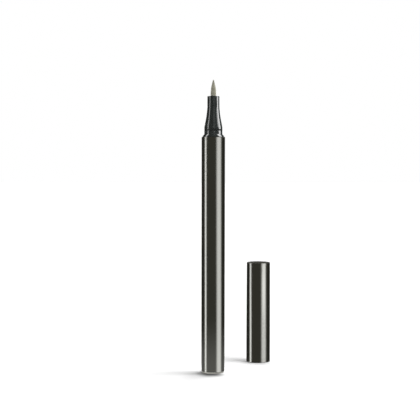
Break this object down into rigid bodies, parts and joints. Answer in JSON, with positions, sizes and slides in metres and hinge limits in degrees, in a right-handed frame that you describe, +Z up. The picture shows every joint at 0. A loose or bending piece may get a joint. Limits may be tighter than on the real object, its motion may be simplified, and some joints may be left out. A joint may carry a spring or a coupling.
{
  "type": "eyebrow pen",
  "caption": "Slim felt-tip eyebrow pen: dark metal barrel, black tapered neck with a felt nib, and a push-on metal cap, taken off, with a sprung inner cap that seals the nib.",
  "frame": {"origin": "centre of the pen's flat base, on the surface that the pen and its cap stand on", "axes": "+Z up along the pen's axis, towards the nib; +X to the right and +Y away from the viewer in the picture, with the cap standing at the right and a little behind"},
  "size_m": [0.0308, 0.0377, 0.1249],
  "materials": {
    "graphite_lacquer": "gloss",
    "gloss_black": "gloss",
    "satin_rubber": "satin",
    "moulded_black": "satin",
    "grey_plastic": "satin",
    "natural_plastic": "satin",
    "felt": "matte",
    "fibre": "matte",
    "clear_film": "gloss",
    "soft_seal": "matte",
    "spring_steel": "polished"
  },
  "bodies": {
    "pen": {"barrel_sleeve": "graphite_lacquer", "inner_tube": "moulded_black", "base_plug": "grey_plastic", "reservoir_core": "fibre", "reservoir_film": "clear_film", "front_section": "gloss_black", "grip_ring": "satin_rubber", "nib_holder": "moulded_black", "nib": "felt"},
    "cap": {"cap_sleeve": "graphite_lacquer", "cap_liner": "moulded_black", "spring_seat": "natural_plastic", "inner_cap_spring": "spring_steel"},
    "inner_cap": {"inner_cap": "natural_plastic", "inner_cap_seal": "soft_seal"}
  },
  "joints": [
    {"name": "cap_lift", "type": "slide", "parent": "pen", "child": "cap", "axis": [0, 0, 1], "range_m": [0, 0.13]},
    {"name": "inner_cap_slide", "type": "slide", "parent": "cap", "child": "inner_cap", "axis": [0, 0, 1], "range_m": [0, 0.0025], "stiffness_N_per_m": 120, "springref_m": -0.003, "deforming": ["inner_cap_spring"]}
  ]
}
